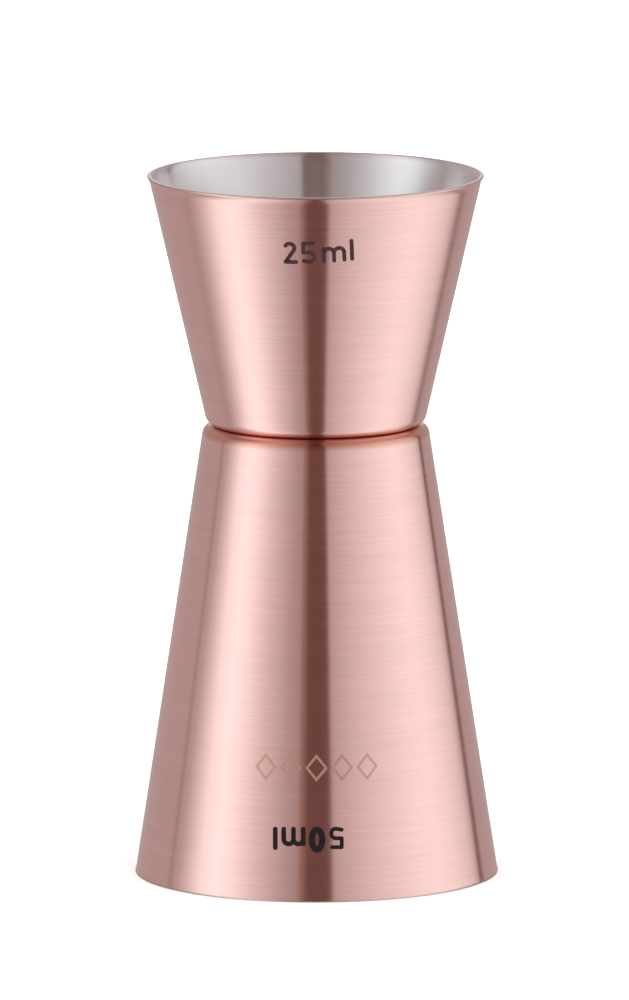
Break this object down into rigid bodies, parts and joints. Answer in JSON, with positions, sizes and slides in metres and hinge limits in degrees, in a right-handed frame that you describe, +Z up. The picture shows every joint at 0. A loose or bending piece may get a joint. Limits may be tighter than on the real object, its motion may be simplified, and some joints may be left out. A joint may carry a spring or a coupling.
{
  "type": "bar jigger",
  "caption": "Double-ended conical bar measure: a small cup on an inverted larger cup, joined base to base, for measuring spirits.",
  "frame": {"origin": "centre of the lower brim, on the common axis, in the plane that the jigger stands on", "axes": "+Z up along the common axis from the larger cup to the smaller, capacity figures face -Y"},
  "size_m": [0.044, 0.044, 0.0853],
  "materials": {
    "copper_plated_steel": "copper plated, brushed round the axis outside, bare brushed steel inside",
    "weld_steel": "resistance weld nugget, inside the joint",
    "marking_ink": "dark matt ink"
  },
  "bodies": {
    "root": {"lower_cup": "copper_plated_steel", "upper_cup": "copper_plated_steel", "spot_welds": "weld_steel", "mark_25ml": "marking_ink", "mark_50ml": "marking_ink"}
  },
  "joints": []
}
